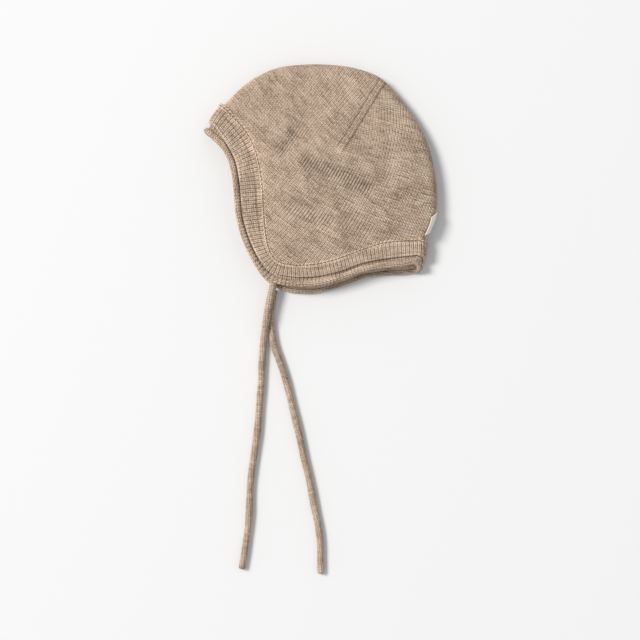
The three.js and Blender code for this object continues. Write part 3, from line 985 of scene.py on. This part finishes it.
# A knitted tube along each tie's route.
tie = {
    "diameter": 5.3,
    "wales": 8,
    "course": 1.75,
    "depth": 0.6,
    "twist": 150.0,           # mm for one turn of the columns
    "unevenness": 0.045,
}
upperTieRoute = [
    (-33.6, -71.5, 8.1), (-34.4, -75.6, 8.1), (-35.6, -80, 8.3), (-37, -85.5, 8.5), (-38.6, -91.9, 8.5),
    (-39.8, -98, 8.4), (-40.6, -103.4, 8), (-41.3, -108.6, 7), (-42.1, -114, 5.4), (-42.8, -119, 4),
    (-43.3, -124, 3.1), (-43.7, -130, 2.75), (-44.2, -141, 2.75), (-44.9, -155, 2.75), (-46, -168, 2.75),
    (-47, -182, 2.75), (-48.8, -198, 2.75), (-51, -213, 2.75), (-52.8, -227, 2.75), (-53.5, -240, 2.75),
    (-54, -254, 2.75), (-55.6, -268, 2.75), (-57.4, -281, 2.75), (-59.4, -293.5, 2.75),
]
lowerTieRoute = [
    (-34.6, -82.3, 2.75), (-35.6, -87, 2.75), (-36.6, -94, 2.75), (-37.1, -103.9, 2.75),
    (-36.8, -113.6, 2.75), (-34.9, -124.9, 2.75), (-30.6, -136.9, 2.75), (-26.6, -149.3, 2.75),
    (-22.6, -165.4, 2.75), (-18.6, -181.9, 2.75), (-15.4, -195.4, 2.75), (-12, -211.9, 2.75),
    (-9, -224, 2.75), (-6.7, -235.9, 2.75), (-4.5, -247.9, 2.75), (-1.9, -259.9, 2.75),
    (-0.4, -271, 2.75), (0, -284, 2.75), (0, -297, 2.75),
]


def buildTie(name, route, node, phase):
    dense = splineAt(route, np.linspace(0, 1, 900))
    run = np.concatenate([[0], np.cumsum(np.linalg.norm(np.diff(dense, axis=0), axis=1))])
    columns, rows = plainStitch["columns"], fineStitch["rows"]
    courses = int(round(run[-1] / tie["course"]))
    count = courses * len(rows) + 1
    at = np.linspace(0, run[-1], count)
    middle = np.column_stack([np.interp(at, run, dense[:, k]) for k in range(3)])
    along = unit(np.gradient(middle, axis=0))
    sideWay = unit(np.cross(along, [0, 0, 1.0]))
    topWay = unit(np.cross(sideWay, along))
    radius = tie["diameter"] / 2
    uneven = 1 + tie["unevenness"] * (np.sin(at / 9.1 + phase) + np.sin(at / 4.7 + 2 * phase)) / 2
    a = np.tile(columns, tie["wales"])
    around = (np.arange(tie["wales"])[:, None] + 0.5 + np.array(columns)[None, :]).ravel() / tie["wales"]
    angle = 2 * math.pi * (around[None, :] + at[:, None] / tie["twist"])
    legs = np.tile(plainStitch["columnHeights"], tie["wales"])
    height = np.append(np.tile(fineStitch["rowHeights"], courses), 0.3)
    swell = legs[None, :] * (0.25 + 0.75 * height[:, None])
    ends = np.minimum(at, run[-1] - at)
    closing = np.sqrt(np.clip(1 - (1 - np.clip(ends / 1.5, 0, 1)) ** 2, 0.0, 1))
    r = (radius * uneven[:, None] + (swell - 0.8) * tie["depth"]) * closing[:, None]
    inside = smooth(ends / 4)
    shift = (np.abs(a) * 2 - 0.5)[None, :] * fineStitch["slant"] * tie["course"] * inside[:, None]
    points = (middle[:, None] + sideWay[:, None] * (r * np.cos(angle))[..., None]
              + topWay[:, None] * (r * np.sin(angle))[..., None] + along[:, None] * shift[..., None])
    points[..., 2] = np.maximum(points[..., 2], 0.05)
    across = len(a)
    quads = ringQuads(count, across, True)[:(count - 1) * across]
    u = np.repeat((np.arange(count) / len(rows))[:, None], across, 1)
    v = np.repeat((around * tie["wales"])[None, :], count, 0)
    uvs = stripLayers(v, u, swell, quads, (0.44, 0.52))
    piece = newPiece(name, points.reshape(-1, 3), quads, tieWool, uvs)
    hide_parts(node)
    path = (middle[::8] + centring) * mm
    path = np.vstack([path, (middle[-1:] + centring) * mm])
    print(name, round(run[-1]), "mm long,", len(quads) * 2, "triangles")


buildTie("tie_upper_knit", upperTieRoute, "tie_upper", 0.4)
buildTie("tie_lower_knit", lowerTieRoute, "tie_lower", 2.3)


# The raised stitches of the fashioned line, from its low end over the fold.
lineRidge = {
    "wales": 2,
    "width": 4.4,
    "course": 1.7,
    "lift": 0.4,
    "depth": 0.85,
    "before": 1.0,            # mm that it runs on at its low end
    "past": 9.0,              # mm that it runs on over the fold
}


def buildLine():
    sheet = upperRows.reshape(-1, 3)
    triangles = gridTriangles(*upperRows.shape[:2])
    tree = BVHTree.FromPolygons(sheet.tolist(), triangles.tolist())
    columns, rows = fineStitch["columns"], fineStitch["rows"]
    start, end = -lineRidge["before"], lineLength + lineRidge["past"]
    courses = int(round((end - start) / lineRidge["course"]))
    s = np.linspace(start, end, courses * len(rows) + 1)
    a = np.append(np.tile(columns, lineRidge["wales"]), -0.5)
    place = (np.arange(len(a)) // len(columns) + 0.5 + a) / lineRidge["wales"] - 0.5
    legs = np.append(np.tile(fineStitch["columnHeights"], lineRidge["wales"]), 0.0)
    height = np.append(np.tile(fineStitch["rowHeights"], courses), 0.2)
    points = np.zeros((len(s), len(a), 3))
    swell = legs[None, :] * (0.25 + 0.75 * height[:, None])
    for i, along in enumerate(s):
        fade = float(smooth((along - start) / 5))
        for j, across in enumerate(place):
            up = along + abs(a[j]) * 2 * fineStitch["slant"] * lineRidge["course"]
            flat = lineStart + lineWay * up + lineRight * across * lineRidge["width"]
            hit, normal, _, _ = tree.ray_cast((flat[0], flat[1], 60.0), (0, 0, -1.0))
            if hit is None:
                hit, normal, _, _ = tree.find_nearest((flat[0], flat[1], 12.0))
            normal = normal if normal.z > 0 else -normal
            rise = (swell[i, j] - knit["level"]) * lineRidge["depth"] * (0.4 + 0.6 * fade)
            rise += lineRidge["lift"] * fade
            edge = 0.5 * (abs(across) * 2) ** 8
            points[i, j] = hit + normal * (rise - edge - (1 - fade) * 0.3)
    count, across = len(s), len(a)
    quads = ringQuads(count, across, False)[:(count - 1) * (across - 1)]
    u = np.repeat((np.arange(count) / len(rows))[:, None], across, 1)
    v = np.repeat((place * 2)[None, :], count, 0)
    uvs = {
        "stitch": np.stack([v.ravel(), u.ravel()], -1),
        "relief": np.column_stack([swell.ravel(), 0 * swell.ravel()]),
        "OFBake": np.column_stack([(v.ravel() + 1) / 2 * 0.9 + 0.05, u.ravel() / u.max() * 0.9 + 0.05]),
    }
    newPiece("fashioned_line", points.reshape(-1, 3), quads, lineWool, uvs)


buildLine()
print("fashioned line ready")


# The bare woven tab, curved round the back of the crown.
label = {
    "top": -24.6,
    "bottom": -39.4,
    "from": -2.0,             # degrees up round the fold
    "to": 72.0,
    "thickness": 0.7,
    "off": 0.45,              # mm clear of the knit
    "weave": 3.2,             # threads a mm
}


def labelMaterial():
    material = bpy.data.materials.new("labelTape")
    material.use_nodes = True
    tree = material.node_tree
    shader = tree.nodes["Principled BSDF"]
    where = addNode(tree, "ShaderNodeUVMap", uv_map="weave")
    threads = []
    for way in ("Y", "X"):
        wave = addNode(tree, "ShaderNodeTexWave", Scale=label["weave"], Distortion=0.6, bands_direction=way)
        link(tree, where, "UV", wave, "Vector")
        threads.append(wave.outputs["Fac"])
    both = mathNode(tree, "MULTIPLY", threads[0], threads[1])
    mix = addNode(tree, "ShaderNodeMix", data_type="RGBA")
    tree.links.new(both, mix.inputs["Factor"])
    mix.inputs[6].default_value = (0.78, 0.70, 0.58, 1)
    mix.inputs[7].default_value = (0.92, 0.87, 0.78, 1)
    tree.links.new(mix.outputs[2], shader.inputs["Base Color"])
    bump = addNode(tree, "ShaderNodeBump", Strength=0.5, Distance=0.0001)
    tree.links.new(both, bump.inputs["Height"])
    link(tree, bump, "Normal", shader, "Normal")
    shader.inputs["Roughness"].default_value = 0.7
    shader.inputs["Sheen Weight"].default_value = 0.1
    return material


def buildLabel():
    heights, arcs = 40, 28
    shares = np.linspace(0.5, 1, 400)
    foldY = splineAt(foldPoints, shares)[:, 1]
    y = np.linspace(label["top"], label["bottom"], heights)
    t = np.interp(-y, -foldY, shares)
    fold = splineAt(foldPoints, t)
    seam = splineAt(seamPoints, t)
    radius = splineAt(shapePoints, t)[:, 0]
    inward = unit(seam[:, :2] - fold[:, :2])
    angle = np.radians(np.linspace(label["from"], label["to"], arcs))
    across = inward[:, None] * (radius[:, None] * (1 - np.cos(angle))[None, :])[..., None]
    z = fold[:, 2:3] / 2 * (1 + np.sin(angle))[None, :]
    points = np.concatenate([fold[:, None, :2] + across, z[..., None]], -1)
    triangles = gridTriangles(heights, arcs)
    normals = pointNormals(points.reshape(-1, 3), triangles).reshape(points.shape)
    if normals[..., 0].mean() < 0:
        normals = -normals
    lift = label["off"] + 0.5 * smooth((angle / angle[-1]))[None, :, None]
    top = points + normals * (lift + label["thickness"])
    under = points + normals * lift
    count = heights * arcs
    index = np.arange(count).reshape(heights, arcs)
    sheet = np.stack([index[:-1, :-1], index[1:, :-1], index[1:, 1:], index[:-1, 1:]], -1).reshape(-1, 4)
    rim = np.concatenate([index[0, :], index[1:, -1], index[-1, -2::-1], index[-2:0:-1, 0]])
    after = np.roll(rim, -1)
    sides = np.stack([rim, after, after + count, rim + count], -1)
    quads = np.vstack([sheet, sheet[:, ::-1] + count, sides])
    both = np.vstack([top.reshape(-1, 3), under.reshape(-1, 3)])
    u = np.repeat(np.linspace(0, 9.5, arcs)[None, :], heights, 0).ravel()
    v = np.repeat(np.linspace(0, 15, heights)[:, None], arcs, 1).ravel()
    weave = np.column_stack([np.tile(u, 2), np.tile(v, 2)])
    bakeAcross = np.concatenate([u / 20, 0.5 + u / 20])
    bake = np.column_stack([bakeAcross * 0.96 + 0.01, np.tile(v / 15, 2) * 0.96 + 0.02])
    uvs = {"weave": weave, "OFBake": bake}
    piece = newPiece("label_tape", both, quads, labelMaterial(), uvs)
    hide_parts("label_tab")


buildLabel()
print("label ready")
